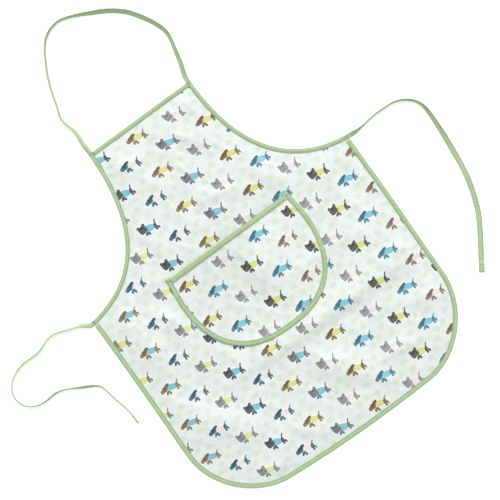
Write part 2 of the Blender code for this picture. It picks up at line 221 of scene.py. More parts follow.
def resampled(path, step):
    """The path with its points an even distance of about step apart, by linear interpolation."""
    along = distances(path)
    even = np.linspace(0, along[-1], max(2, round(along[-1] / step)) + 1)
    return np.stack([np.interp(even, along, axis) for axis in path.T], -1)


def unit(vectors):
    """Each vector over its own length."""
    return vectors / np.linalg.norm(vectors, axis=-1)[..., None]


def inward(path):
    """At each point of a path run clockwise about the cloth, the mitred step that moves it 1 m inwards: the
    sum of the two neighbouring normals over its part along either."""
    normals = unit(np.diff(path, axis=0)) @ np.array(((0.0, -1.0), (1.0, 0.0)))
    before = np.concatenate((normals[:1], normals))
    after = np.concatenate((normals, normals[-1:]))
    mitre = before + after
    return mitre / (mitre * after).sum(1)[:, None]


def mirrored(path):
    """The path on the other side of x = 0, run backwards so that it goes on round the same way."""
    return path[::-1] * (-1, 1)


down_armhole = np.array((math.sin(ARMHOLE_WAIST_ANGLE), -math.cos(ARMHOLE_WAIST_ANGLE)))
bib_corner, waist_corner = np.array((BIB_HALF, TOP)), np.array((SKIRT_HALF, TOP - WAIST_DROP))
armhole_pulls = bib_corner - (0, ARMHOLE_TOP_PULL), waist_corner - ARMHOLE_WAIST_PULL * down_armhole
armhole_cut = bezier(bib_corner, *armhole_pulls, waist_corner, 90)
corner_turn = np.linspace(0, -math.pi / 2, 60)[:, None]
corner_cut = SKIRT_CORNER * np.hstack((np.cos(corner_turn), np.sin(corner_turn)))
corner_cut = corner_cut + (SKIRT_HALF - SKIRT_CORNER, SKIRT_CORNER - TOP)
side_cut = np.concatenate((np.linspace(waist_corner, corner_cut[0], 40)[:-1], corner_cut))
half_skirt = np.concatenate((side_cut, np.linspace(corner_cut[-1], (0, -TOP), 40)[1:]))
skirt_cut = np.concatenate((half_skirt, mirrored(half_skirt)[1:]))
laid = lay(np.concatenate((armhole_cut, skirt_cut[1:-1], mirrored(armhole_cut))))
ORIGIN = (laid.min(0) + laid.max(0)) / 2
edge_line = resampled(np.concatenate((laid, laid[:1])) - ORIGIN, 0.002)
corners = lay(np.stack((bib_corner, waist_corner, waist_corner * (-1, 1), bib_corner * (-1, 1)))) - ORIGIN

# Packet folds run the whole way over the cloth: where from, where to, how high, and how wide on the left
# and on the right of it, in millimetres.
PACKET_FOLDS = (((-250, -122), (250, -118), 0.5, 12, 8), ((4, 300), (7, -300), 0.6, 8, 8))
# Soft creases: the same five measures, of a rounded ridge that fades towards its two ends. A minus is a
# dip.
SOFT_CREASES = (
    ((-150, -124), (275, -117), 4.8, 30, 13), ((-20, -165), (105, -272), 4.0, 28, 15),
    ((-8, -152), (62, -212), 1.9, 13, 16), ((160, -176), (240, -190), 2.6, 14, 20),
    ((70, -222), (175, -236), 2.4, 13, 9), ((-198, -75), (-204, 78), 3.6, 12, 36),
    ((-222, -110), (-120, -215), 5.4, 22, 32), ((-180, -255), (-95, -292), 1.8, 12, 12),
    ((-172, 50), (-126, -12), 3.0, 10, 17), ((-14, 146), (80, 112), 2.5, 12, 11),
    ((32, -95), (0, 66), 3.6, 22, 42), ((-10, 64), (-25, 20), 0.9, 4, 4), ((-16, 66), (-34, 30), 0.8, 4, 3),
    ((198, 78), (222, -36), -2.0, 12, 12), ((86, 150), (130, 70), 2.1, 12, 12),
    ((-104, 170), (-84, 55), 2.4, 30, 11), ((188, -92), (245, -110), 1.8, 9, 9),
    ((-92, 262), (-40, 236), 1.8, 12, 12), ((22, 252), (58, 205), 1.8, 14, 12),
    ((-60, 235), (-30, 170), 1.5, 12, 10), ((-85, -228), (-45, -272), 2.0, 14, 12),
    ((128, -30), (200, -62), 2.0, 18, 14),
)
# Heights of the slow waves, the quick ones and the edge's. Handling marks: height, number of families,
# spacing of a family's ridges, and seed.
SLOW_WAVE, QUICK_WAVE, EDGE_WAVE = 0.0007, 0.0004, 0.0003
CRUMPLE, CRUMPLE_FAMILIES, CRUMPLE_SPACING, CRUMPLE_SEED = 0.0008, 9, (0.05, 0.11), 11
# Ripples beside the tape: height, spacing, how far in, and over what width.
RIPPLE, RIPPLE_SPACING, RIPPLE_IN, RIPPLE_WIDE = 0.00022, 0.0125, 0.012, 0.009
# Where the waves and the ripples grow in from the edge, and the edge's wave from a corner.
WAVES_GROW, RIPPLES_GROW, CORNER_FREES = (0.006, 0.032), (0.008, 0.012), (0.012, 0.045)
AT_ONCE = 4000


def from_edge(points):
    """Each point's distance to the nearest point of the apron's edge, and how far along the edge that is."""
    flat_points = points.reshape(-1, 2)
    nearest, where = np.empty(len(flat_points)), np.empty(len(flat_points))
    along = distances(edge_line)
    for first in range(0, len(flat_points), AT_ONCE):
        some = slice(first, first + AT_ONCE)
        apart = np.linalg.norm(flat_points[some, None] - edge_line[None], axis=2)
        nearest[some], where[some] = apart.min(1), along[apart.argmin(1)]
    return nearest.reshape(points.shape[:-1]), where.reshape(points.shape[:-1])


def smooth(values, start, end):
    """0 before start, 1 after end, and a smooth step 3t^2 - 2t^3 between them."""
    t = np.clip((values - start) / (end - start), 0, 1)
    return t * t * (3 - 2 * t)


def crease(points, start, end, height, left, right, sharp):
    """A ridge over the line from start to end: height times exp(-d) if sharp, else exp(-d^2), where d is the
    distance from the line over its width on that side. A soft one fades as a half sine along its length."""
    start, end = np.array(start) / 1000, np.array(end) / 1000
    run = end - start
    share = ((points - start) @ run) / (run @ run)
    away = (points - start) @ np.array((-run[1], run[0])) / np.linalg.norm(run) * 1000
    away = np.where(away > 0, away / left, -away / right)
    if sharp:
        return height / 1000 * np.exp(-away)
    return height / 1000 * np.exp(-(away**2)) * np.sin(math.pi * np.clip(share, 0, 1))


def crumple(points):
    """Handling marks: families of ridges, each the cube of 1 - |sin| of the distance across it, bent by a
    slow sine along it and let through in patches."""
    chance = np.random.default_rng(CRUMPLE_SEED)
    total = np.zeros(points.shape[:-1])
    for _ in range(CRUMPLE_FAMILIES):
        turn, start, bend = chance.uniform(0, math.pi), *chance.uniform(0, 2 * math.pi, 2)
        spacing = chance.uniform(*CRUMPLE_SPACING)
        across = points @ np.array((math.cos(turn), math.sin(turn)))
        along = points @ np.array((-math.sin(turn), math.cos(turn)))
        wave = np.sin(math.pi * across / spacing + start + 0.9 * np.sin(along * 26 + bend))
        patch = np.sin(34 * across + bend) * np.sin(27 * along + start)
        total += smooth(patch, 0.0, 0.8) * (1 - np.abs(wave)) ** 3
    return CRUMPLE * total


def rise(points):
    """How far the cloth at these points is off the flat: slow waves as a sum of sines, packet folds, soft
    creases and the ripples that the stitching pulls in beside the tape, all fading out at the edge, where
    only a slight wave is left. At the corners, which the straps hold, it is nothing."""
    x, y = points[..., 0], points[..., 1]
    depth, along = from_edge(points)
    waves = SLOW_WAVE * (1 + np.sin(31 * x + 17 * y + 0.6) * np.sin(23 * y - 12 * x + 1.9))
    waves = waves + QUICK_WAVE * (1 + np.sin(58 * x - 44 * y) * np.sin(49 * y + 21 * x + 0.8))
    waves = waves + crumple(points)
    for fold in PACKET_FOLDS:
        waves = waves + crease(points, *fold, sharp=True)
    for fold in SOFT_CREASES:
        waves = waves + crease(points, *fold, sharp=False)
    ripple = 0.5 + 0.5 * np.sin(along * 2 * math.pi / RIPPLE_SPACING + 1.4 * np.sin(along * 29))
    ripple = RIPPLE * ripple * np.exp(-(((depth - RIPPLE_IN) / RIPPLE_WIDE) ** 2))
    edge_wave = EDGE_WAVE * (1 + np.sin(along * 37 + 2 * np.sin(along * 11)))
    apart = np.linalg.norm(points[..., None, :] - corners, axis=-1).min(-1)
    settled = smooth(apart, *CORNER_FREES)
    inner = smooth(depth, *WAVES_GROW) * waves
    return settled * edge_wave + inner + smooth(depth, *RIPPLES_GROW) * ripple


def piece(name, vertices, faces, places, finishes, back_faces=None):
    """A smooth-shaded mesh at the origin with its faces turned outwards. places gives each vertex its spot
    on the flat cloth or tape, kept as the UV map "spot". back_faces counts the faces, from the last, that
    take the second finish."""
    mesh = bpy.data.meshes.new(name)
    mesh.from_pydata(vertices, [], faces)
    for finish in finishes:
        mesh.materials.append(finish)
    if back_faces is not None:
        mesh.polygons.foreach_set("material_index", back_faces.astype(np.int32))
    work = bmesh.new()
    work.from_mesh(mesh)
    bmesh.ops.recalc_face_normals(work, faces=work.faces)
    work.to_mesh(mesh)
    work.free()
    spot = mesh.uv_layers.new(name="spot")
    corner_vertex = np.empty(len(mesh.loops), np.int32)
    mesh.loops.foreach_get("vertex_index", corner_vertex)
    spot.data.foreach_set("uv", np.asarray(places, np.float32)[corner_vertex].ravel())
    mesh.shade_smooth()
    made = bpy.data.objects.new(name, mesh)
    scene.collection.objects.link(made)
    return made


def cloth_grid(half_edge, step):
    """Rows of points between a half outline and its mirror image: each row keeps the height of its edge
    point, and its columns share out the width evenly."""
    rows = resampled(half_edge, step)
    columns = np.linspace(-1, 1, round(2 * rows[:, 0].max() / step) + 1)
    heights = np.broadcast_to(rows[:, 1:], (len(rows), len(columns)))
    return np.stack((rows[:, :1] * columns, heights), -1)


def cloth(name, top, places, finishes):
    """A sheet as two layers of the grid, the lower one a cloth's thickness below, closed along its rim."""
    rows, columns = top.shape[:2]
    upper = np.arange(rows * columns).reshape(rows, columns)
    lower = upper + rows * columns
    quads = [
        np.stack((layer[:-1, :-1], layer[:-1, 1:], layer[1:, 1:], layer[1:, :-1]), -1).reshape(-1, 4)
        for layer in (upper, lower)
    ]
    rim = np.concatenate((upper[0], upper[1:, -1], upper[-1, -2::-1], upper[-2:0:-1, 0]))
    after = np.roll(rim, -1)
    wall = np.stack((rim, after, after + rows * columns, rim + rows * columns), 1)
    faces = np.concatenate((*quads, wall))
    back = np.arange(len(faces)) >= len(quads[0])
    vertices = np.concatenate((top.reshape(-1, 3), top.reshape(-1, 3) - (0, 0, CLOTH)))
    both = np.tile(places.reshape(-1, 2), (2, 1))
    return piece(name, vertices, faces, both, finishes, back)


# The printed face. It is drawn in millimetres on the cloth: columns of small animals 33.6 mm apart, each
# column dropped by half a repeat of 65 mm from the last, with pale green marks between them. The animals
# are plain cats and dogs in shirts. Every sixteen columns the colours start again.
COLUMN, REPEAT = 33.6, 65.0
# kind, fur, shirt
COLOURWAYS = (
    ("cat", "#76756F", "#D2D58A"), ("dog", "#806D4C", "#7DB7C5"), ("dog", "#2D6071", "#DFD9D5"),
    ("cat", "#7D7F82", "#D4DB9D"), ("cat", "#383B42", "#7DBAC7"), ("dog", "#295B6A", "#DFD9D5"),
    ("dog", "#7D6A48", "#D3D390"), ("cat", "#696A70", "#83BCC8"), ("cat", "#848486", "#DFD9D5"),
    ("dog", "#735C39", "#D2CF8C"), ("dog", "#3D7587", "#89BFCC"), ("cat", "#8B8B8F", "#DFD9D5"),
    ("cat", "#44413C", "#D0D58D"), ("dog", "#35778A", "#82BACA"), ("dog", "#836F59", "#DFD9D5"),
    ("cat", "#3F3B38", "#D0D58D"),
)
# Each animal is a few ellipses: centre x and y, radii, and turn in degrees, in millimetres. True after the
# turn squares one off.
DOG_SHIRT = ((4.2, -0.4, 7.6, 5.0, -8), (0.2, 1.2, 4.4, 4.2, 0))
DOG_FUR = (
    (-8.6, 1.6, 5.6, 4.4, 16), (-13.6, -0.2, 3.6, 3.3, 8), (-5.2, -4.8, 3.6, 2.3, 20),
    (-8.0, -6.8, 1.7, 2.3, 0), (-2.6, -7.6, 1.9, 3.0, 8), (12.0, -1.4, 2.8, 4.6, -14),
    (15.4, -4.4, 3.7, 1.7, -26), (11.6, -7.0, 1.9, 2.3, 0), (16.4, -6.6, 1.5, 1.7, 0),
    (14.8, 4.6, 4.6, 0.9, 44),
)
DOG_EAR = ((-3.6, 5.4, 5.4, 2.5, 20), (-8.0, 2.8, 4.6, 2.2, 34))
CAT_SHIRT = ((2.0, -1.0, 8.6, 5.4, -6), (-1.4, 0.2, 5.2, 5.2, 0))
CAT_FUR = (
    (-9.2, 1.6, 6.6, 6.0, 14, True), (-14.0, 6.2, 2.6, 3.2, 38), (-5.2, 7.6, 2.6, 3.2, -14),
    (-5.2, -6.4, 3.5, 2.2, 16), (-7.8, -8.0, 1.7, 2.1, 0), (-2.8, -8.6, 1.9, 2.4, 10),
    (11.0, -2.2, 2.5, 5.0, -14), (14.2, -5.4, 3.4, 1.7, -34), (11.0, -7.8, 1.9, 2.0, 0),
    (15.4, -7.4, 1.5, 1.7, 0), (13.2, 4.4, 4.6, 1.1, 60),
)
CAT_EAR = ((-10.0, 4.8, 3.6, 1.6, 16),)
MARKS = ((9.5, 16.0, 6.0, 4.8, 20), (9.5, -18.0, 5.8, 5.0, -15), (-11.0, 19.5, 5.6, 4.7, 30))
# The one mark that lies half way between two animals of a column, measured from there.
MIDDLE_MARK = (1.0, 0.0, 5.9, 4.9, 10)
# How many columns before column 0 the colours start.
COLOURS_BEFORE = 4


def blot(tree, place, x, y, wide, high, turn, squared=False):
    """An ellipse as a field: the distance from its centre as a share of its radius that way, 1 on the rim.
    Squared off, the distance is the fourth root of the sum of the fourth powers."""
    ellipse = {"Vector": place, "Location": (x, y, 0), "Scale": (wide, high, 1)}
    ellipse["Rotation"] = (0, 0, math.radians(turn))
    inside = node(tree, "Mapping", ellipse, vector_type="TEXTURE")
    if squared:
        inside = node(tree, "VectorMath", {0: inside, 1: inside}, operation="MULTIPLY")
    share = node(tree, "VectorMath", {0: inside}, operation="LENGTH").outputs["Value"]
    if squared:
        share = node(tree, "Math", {0: share}, operation="SQRT")
    return share


def least(tree, fields):
    """The least of several fields."""
    lowest = fields[0]
    for field in fields[1:]:
        lowest = node(tree, "Math", {0: lowest, 1: field}, operation="MINIMUM")
    return lowest


def blots(tree, place, shapes):
    """Several ellipses as one field."""
    return least(tree, [blot(tree, place, *shape) for shape in shapes])


def covered(tree, field, inner, outer):
    """1 where the field is under inner, falling to 0 at outer."""
    limits = {"Value": field, "From Min": inner, "From Max": outer, "To Min": 1.0, "To Max": 0.0}
    return node(tree, "MapRange", limits)


def steps(tree, fac, colours):
    """A ramp of flat steps, one colour each, equally wide."""
    made = node(tree, "ValToRGB", {"Fac": fac})
    ramp = made.color_ramp
    ramp.interpolation = "CONSTANT"
    for i, colour in enumerate(colours):
        stop = ramp.elements[i] if i < 2 else ramp.elements.new(i / len(colours))
        stop.position, stop.color = i / len(colours), colour
    return made


def choose(tree, which, zero, one):
    """zero where which is 0, and one where it is 1."""
    limits = {"Value": which, "From Min": 0.0, "From Max": 1.0, "To Min": zero, "To Max": one}
    return node(tree, "MapRange", limits)


def plain_weave(tree):
    """A plain weave of 0.45 mm threads as a height: the higher of the warp's and the weft's waves."""
    at = node(tree, "TexCoord", {}).outputs["Object"]
    ways = [
        node(tree, "TexWave", {"Vector": at, "Scale": 350.0}, bands_direction=way).outputs["Fac"]
        for way in ("X", "Y")
    ]
    return node(tree, "Math", {0: ways[0], 1: ways[1]}, operation="MAXIMUM")


# Cotton with a clear polyurethane film on its face: white, faintly green, and softly glossy over a weave
# that only just shows. The ink lies under the film.
printed_face, tree, shader = finish_named(
    "polyurethane_coated_cotton_print",
    Roughness=0.62,
    Coat_Weight=0.10,
    Coat_Roughness=0.40,
    IOR=1.45,
    Specular_IOR_Level=0.4,
)
spot = node(tree, "UVMap", {}, uv_map="spot")
across_down = node(tree, "SeparateXYZ", {0: spot})
column = node(tree, "Math", {0: across_down.outputs[0]}, operation="ROUND")
odd = node(tree, "Math", {0: column, 1: 2.0}, operation="FLOORED_MODULO")
drop = node(tree, "Math", {0: odd, 1: 0.5}, operation="MULTIPLY")
dropped = node(tree, "Math", {0: across_down.outputs[1], 1: drop}, operation="ADD")
row = node(tree, "Math", {0: dropped}, operation="ROUND")
offsets = [
    node(tree, "Math", {0: at, 1: cell}, operation="SUBTRACT")
    for at, cell in ((across_down.outputs[0], column), (dropped, row))
]
aside, above = (
    node(tree, "Math", {0: offset, 1: size}, operation="MULTIPLY")
    for offset, size in zip(offsets, (COLUMN, REPEAT))
)
place = node(tree, "CombineXYZ", {0: aside, 1: above})
between = node(tree, "Math", {0: above}, operation="ABSOLUTE")
between = node(tree, "Math", {0: REPEAT / 2, 1: between}, operation="SUBTRACT")
between = node(tree, "CombineXYZ", {0: aside, 1: between})
turns = len(COLOURWAYS)
turnabout = column
for operation, amount in (
    ("ADD", COLOURS_BEFORE), ("FLOORED_MODULO", turns), ("ADD", 0.5), ("DIVIDE", turns)
):
    turnabout = node(tree, "Math", {0: turnabout, 1: amount}, operation=operation)
furs = steps(tree, turnabout, [(*linear(fur)[:3], float(kind == "dog")) for kind, fur, _ in COLOURWAYS])
shirts = steps(tree, turnabout, [linear(shirt) for _, _, shirt in COLOURWAYS])
is_dog = furs.outputs["Alpha"]

scale = (COLUMN / 10, REPEAT / 10, 1)
on_cloth = node(tree, "VectorMath", {0: spot, 1: scale}, operation="MULTIPLY")
mottle = node(tree, "TexNoise", {"Vector": on_cloth, "Scale": 0.9, "Detail": 4.0}).outputs["Fac"]
grain = node(tree, "TexNoise", {"Vector": on_cloth, "Scale": 4.5, "Detail": 2.0}).outputs["Fac"]
shirt, fur, ear = (
    choose(tree, is_dog, blots(tree, place, cat), blots(tree, place, dog))
    for cat, dog in ((CAT_SHIRT, DOG_SHIRT), (CAT_FUR, DOG_FUR), (CAT_EAR, DOG_EAR))
)
animal = least(tree, (shirt, fur, ear))
# The marks, their edges and their ink broken up by the grain.
marks = least(tree, (blots(tree, place, MARKS), blot(tree, between, *MIDDLE_MARK)))
rough = node(tree, "Math", {0: grain, 1: 0.5}, operation="MULTIPLY")
marks = node(tree, "Math", {0: marks, 1: rough}, operation="ADD")
marked = {0: covered(tree, marks, 1.05, 1.35), 1: covered(tree, grain, 0.95, 0.2)}
marked = node(tree, "Math", marked, operation="MULTIPLY")
marked = node(tree, "Math", {0: marked, 1: 1.15}, operation="MULTIPLY")
worn = {"Value": grain, "From Min": 0.35, "From Max": 0.7, "To Min": 0.0, "To Max": 0.16}
worn = node(tree, "MapRange", worn)
colour = furs.outputs["Color"]
pale_fur, dark_fur = (
    node(tree, "Mix", {"Factor": amount, 6: colour, 7: linear(tint)}, data_type="RGBA").outputs[2]
    for amount, tint in ((worn, "#D9DEDB"), (0.25, "#2E2622"))
)
# The ink over the white ground, each layer where it covers: thin patches, marks, the pale rim round each
# animal, its shirt, its fur and its ears.
ground = linear("#DFE4E1")
for cover, ink in (
    (covered(tree, mottle, 0.35, 0.65), linear("#D5DCDA")),
    (marked, linear("#C3D4B3")),
    (covered(tree, animal, 1.12, 1.42), linear("#E9ECEA")),
    (covered(tree, shirt, 0.97, 1.04), shirts.outputs["Color"]),
    (covered(tree, fur, 0.96, 1.06), pale_fur),
    (covered(tree, ear, 0.94, 1.08), dark_fur),
):
    ground = node(tree, "Mix", {"Factor": cover, 6: ground, 7: ink}, data_type="RGBA").outputs[2]
tree.links.new(ground, shader.inputs["Base Color"])
# The weave is only felt through the film.
bump = node(tree, "Bump", {"Strength": 0.12, "Distance": 0.0001, "Height": plain_weave(tree)})
tree.links.new(bump.outputs[0], shader.inputs["Normal"])

# The cotton's bare back: matt and off-white, the weave plain to see.
bare_back, tree, shader = finish_named("plain_woven_cotton_back", Roughness=0.95)
weave = plain_weave(tree)
threads = {"Factor": weave, 6: linear("#DDE0DB"), 7: linear("#EDEFEA")}
threads = node(tree, "Mix", threads, data_type="RGBA").outputs[2]
tree.links.new(threads, shader.inputs["Base Color"])
bump = node(tree, "Bump", {"Strength": 0.4, "Distance": 0.0001, "Height": weave})
tree.links.new(bump.outputs[0], shader.inputs["Normal"])

# Where the print's columns and rows run on the cut cloth: cubic polynomials of the place over 300 mm,
# because the cloth was cut a little askew and the print drifts.
PRINT_COLUMNS = (2.952, 8.962, -0.900, -0.137, 0.246, 0.416)
PRINT_ROWS = (-4.1055, 0.3415, 4.6212, 0.0858, -0.1212, 0.1164)


def on_print(cut, columns, rows):
    """The print's column and row at each place of the cut cloth, as polynomials of x and y over 300 mm. A
    short list of factors leaves the later terms out."""
    x, y = cut[..., 0] / 0.3, cut[..., 1] / 0.3
    terms = np.stack((np.ones_like(x), x, y, x * y, y * y, y**3)[: len(columns)], -1)
    return np.stack((terms @ np.array(columns), terms @ np.array(rows)), -1)


side_edge = np.concatenate((armhole_cut, side_cut[1:]))
side_edge = side_edge + RAW_EDGE * inward(side_edge)
side_edge[0, 1] = TOP - RAW_EDGE
body_cut = cloth_grid(side_edge, CLOTH_STEP)
body_laid = lay(body_cut) - ORIGIN
PANEL_TOP = TAPE + GAP + CLOTH
body_top = np.dstack((body_laid, PANEL_TOP + rise(body_laid)))
body_print = on_print(body_cut, PRINT_COLUMNS, PRINT_ROWS)
body_cloth = cloth("body_cloth", body_top, body_print, (printed_face, bare_back))
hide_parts("body_panel")
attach(body_cloth, "apron")

# ------------------------------
# The bindings: cotton bias tape 7 to 9 mm wide when folded, cut at 45 degrees to its threads so that it
# goes round curves. It is folded over the raw edge and held by one row of stitches near its inner edge.
BINDING_HEIGHT = 0.0021
SEAM_IN = 0.0015
TAPE_STEP = 0.0022
# The upper layer's swell, its dip at the seam, the dip's width, and its drop at the open edge. How far the
# layers' edges are rounded off, and how far from the fold the slot for the cloth ends.
SWELL, SEAM_DIP, SEAM_DIP_WIDE, EDGE_DROP = 0.00028, 0.00030, 0.00045, 0.00012
EDGE_ROUND, SLOT_END = 0.00022, 0.0009
PUCKER, PUCKER_SPACING = 0.00016, 0.0042
SEAM_SUNK = 0.0002

# Cotton poplin, dyed leaf green: matt, its threads slanting both ways across the tape. Across it the green is
# paler along the middle, a painted highlight, and darker at the fold and in the stitched groove, painted
# shade.
# Threads are drawn 1 mm apart to show at all. Its colours, green with this painted light and shade, are given
# from the fold to the open edge.
TAPE_GREEN_AND_PAINTED_SHADE = (
    (0.0, "#9CB58A"), (0.22, "#A9C296"), (0.5, "#B3CCA1"), (0.72, "#ABC498"), (0.815, "#A2BB8E"),
    (0.93, "#AFC89D"),
)
bias_tape, tree, shader = finish_named("dyed_cotton_bias_tape", Roughness=0.85, Sheen_Weight=0.15)
spot = node(tree, "UVMap", {}, uv_map="spot")
slanted = [
    node(tree, "Mapping", {"Vector": spot, "Rotation": (0, 0, math.radians(turn)), "Scale": (1, 1, 1)})
    for turn in (45, -45)
]
ribs = [
    node(tree, "TexWave", {"Vector": one, "Scale": scale, "Distortion": 0.6, "Detail": 1.0})
    for one, scale in zip(slanted, (330.0, 420.0))
]
half = node(tree, "Math", {0: ribs[1].outputs["Fac"], 1: 0.5}, operation="MULTIPLY")
ribbed = node(tree, "Math", {0: ribs[0].outputs["Fac"], 1: half}, operation="ADD")
across_tape = node(tree, "SeparateXYZ", {0: spot}).outputs[1]
across_tape = node(tree, "Math", {0: across_tape, 1: TAPE_WIDTH}, operation="DIVIDE")
# The ramp across the tape: its green with painted shade at the fold and in the seam's groove, and a painted
# highlight along the middle.
band = node(tree, "ValToRGB", {"Fac": across_tape})
for i, (position, colour) in enumerate(TAPE_GREEN_AND_PAINTED_SHADE):
    stop = band.color_ramp.elements[i] if i < 2 else band.color_ramp.elements.new(position)
    stop.position, stop.color = position, linear(colour)
blotches = node(tree, "TexNoise", {"Vector": spot, "Scale": 60.0, "Detail": 3.0}).outputs["Fac"]
grooves = node(tree, "Math", {0: covered(tree, ribbed, 0.35, 1.2), 1: 0.45}, operation="MULTIPLY")
rubbed = node(tree, "Math", {0: covered(tree, blotches, 0.3, 0.7), 1: 0.18}, operation="MULTIPLY")
shade = band.outputs[0]
for cover, colour in ((grooves, "#7F976B"), (rubbed, "#C4D5B4")):
    shade = node(tree, "Mix", {"Factor": cover, 6: shade, 7: linear(colour)}, data_type="RGBA").outputs[2]
tree.links.new(shade, shader.inputs["Base Color"])
bump = node(tree, "Bump", {"Strength": 0.5, "Distance": 0.0003, "Height": ribbed})
tree.links.new(bump.outputs[0], shader.inputs["Normal"])

# Polyester sewing thread in the tape's green: two plies, a slight shine, laid in lock stitches.
sewing_thread, tree, shader = finish_named("polyester_sewing_thread", Roughness=0.5, Sheen_Weight=0.2)
thread_place = node(tree, "TexCoord", {}).outputs["Object"]
plies = node(tree, "TexWave", {"Vector": thread_place, "Scale": 900.0}).outputs["Fac"]
twist = {"Factor": plies, 6: linear("#7E9A69"), 7: linear("#98B184")}
twist = node(tree, "Mix", twist, data_type="RGBA").outputs[2]
tree.links.new(twist, shader.inputs["Base Color"])


def fold_section(width):
    """Folded tape in section, as distance from the fold and height: a half circle at the fold, an upper
    layer that swells and dips at the seam, and a slot inside that holds the cloth."""
    tall = BINDING_HEIGHT / 2
    bend = np.linspace(-math.pi / 2, -3 * math.pi / 2, 9)
    fold = np.stack((tall + tall * np.cos(bend), tall + tall * np.sin(bend)), 1)
    shares = (np.linspace(0.25, 0.72, 6), np.linspace(0.75, 0.88, 7), (0.92, 0.96, 0.985))
    over = np.concatenate(shares) * width
    swell = SWELL * np.sin(math.pi * np.clip((over - tall) / (width - SEAM_IN - tall), 0, 1))
    dip = SEAM_DIP * np.exp(-(((over - (width - SEAM_IN)) / SEAM_DIP_WIDE) ** 2))
    upper = np.stack((over, BINDING_HEIGHT + swell - dip - EDGE_DROP * (over > 0.97 * width)), 1)
    slot_top = BINDING_HEIGHT - TAPE
    inner = (
        (width, BINDING_HEIGHT - EDGE_ROUND), (width - 0.0001, slot_top + 0.00005), (width * 0.6, slot_top),
        (SLOT_END + 0.0003, slot_top), (SLOT_END, (slot_top + TAPE) / 2), (SLOT_END + 0.0003, TAPE),
        (width * 0.6, TAPE), (width - 0.0001, TAPE - 0.00005), (width, TAPE - EDGE_ROUND),
        (width - 0.0002, 0.00003), (width * 0.5, 0.0),
    )
    return np.concatenate((fold, upper, inner))


def carried(path, across, up, section):
    """A section carried along a path: each ring is its path point plus across times the section's first
    measure plus up times its second."""
    return path[:, None] + section[..., :1] * across[:, None] + section[..., 1:] * up[:, None]


def tube_faces(rings, corners):
    """Quads between neighbouring closed rings, and one face over each end."""
    grid = np.arange(rings * corners).reshape(rings, corners)
    turned = np.roll(grid, -1, 1)
    quads = np.stack((grid[:-1], turned[:-1], turned[1:], grid[1:]), -1).reshape(-1, 4)
    return [*quads.tolist(), grid[0].tolist(), grid[-1].tolist()]


def tape(name, rings, section, along, finish=bias_tape):
    """A piece of tape from its rings. Its spots are the distance along it and the distance across it."""
    count, corners = rings.shape[:2]
    across = np.broadcast_to(section[..., 0], (count, corners))
    places = np.stack((np.broadcast_to(along[:, None], (count, corners)), across), -1)
    return piece(name, rings.reshape(-1, 3), tube_faces(count, corners), places.reshape(-1, 2), (finish,))


UP = np.array((0.0, 0.0, 1.0))


def binding(name, path, base, off_flat, width=TAPE_WIDTH, into=None):
    """Tape folded over the edge that the path follows, raised by off_flat(place). The stitches draw it in,
    which makes small puckers 4 mm apart: the layers swell by a sine of the distance along it."""
    into = inward(path) if into is None else into
    section = fold_section(width)
    along = distances(path)
    pucker = PUCKER * np.sin(along * 2 * math.pi / PUCKER_SPACING + 1.7 * np.sin(along * 90))
    middles = path + into * width / 2
    level = base + off_flat(middles)
    sections = np.repeat(section[None], len(path), 0)
    over = section[:, 1] > BINDING_HEIGHT - TAPE / 2
    swelling = np.where(over, np.sin(math.pi * np.clip(section[:, 0] / width, 0, 1)), 0)
    sections[..., 1] += pucker[:, None] * swelling
    flat_path = np.column_stack((path, level))
    level_into = np.column_stack((into, np.zeros(len(path))))
    rings = carried(flat_path, level_into, np.tile(UP, (len(path), 1)), sections)
    made = tape(name, rings, section, along)
    seam_line = flat_path + level_into * (width - SEAM_IN)
    seam_line[:, 2] += BINDING_HEIGHT - SEAM_SUNK
    return made, seam_line


STITCH, STITCH_GAP = 0.0026, 0.0007
STITCH_SKIP = 0.003
THREAD_RADIUS, THREAD_SIDES = 0.00024, 6
# At these shares of a stitch's length: its radius over the thread's, and its height over the cloth.
STITCH_SHARES = np.array((0, 0.14, 0.5, 0.86, 1.0))
STITCH_RADII = np.array((0.45, 1, 1.1, 1, 0.45))
STITCH_HEIGHTS = np.array((-0.00012, 0.00012, 0.00022, 0.00012, -0.00012))
AROUND_THREAD = np.linspace(0, 2 * math.pi, THREAD_SIDES, endpoint=False)
# A tack's length, swing to each side, points and drawing step. Its distance from the corner, and its height
# over the tape on the body and on the pocket.
TACK_LENGTH, TACK_SWING, TACK_POINTS, TACK_STEP = 0.005, 0.0007, 9, 0.0004
TACK_IN, TACK_LIFT, POCKET_TACK_LIFT = 0.002, 0.00045, 0.0006


def stitches(name, line, normals, skip=STITCH_SKIP, stitch=STITCH):
    """A row of lock stitches along a line: each is a short tube that rises from the cloth and dips back."""
    along = distances(line)
    starts = np.arange(skip, along[-1] - skip - stitch, stitch + STITCH_GAP)
    radius = THREAD_RADIUS * STITCH_RADII
    s = starts[:, None] + STITCH_SHARES * stitch
    centre = np.stack([np.interp(s, along, axis) for axis in line.T], -1)
    up = unit(np.stack([np.interp(s, along, axis) for axis in normals.T], -1))
    run = unit(centre[:, -1:] - centre[:, :1])
    side = np.cross(run, up)
    aside, above = np.cos(AROUND_THREAD)[:, None], np.sin(AROUND_THREAD)[:, None]
    spokes = aside * side[..., None, :] + above * up[..., None, :]
    points = (centre + STITCH_HEIGHTS[:, None] * up)[..., None, :] + radius[:, None, None] * spokes
    one = tube_faces(len(STITCH_SHARES), THREAD_SIDES)
    points_each = len(STITCH_SHARES) * THREAD_SIDES
    faces = [[corner + points_each * i for corner in face] for i in range(len(starts)) for face in one]
    vertices = points.reshape(-1, 3)
    return piece(name, vertices, faces, vertices[:, :2], (sewing_thread,))


def flat_normals(line):
    """Straight up, at each point of the line."""
    return np.tile(UP, (len(line), 1))


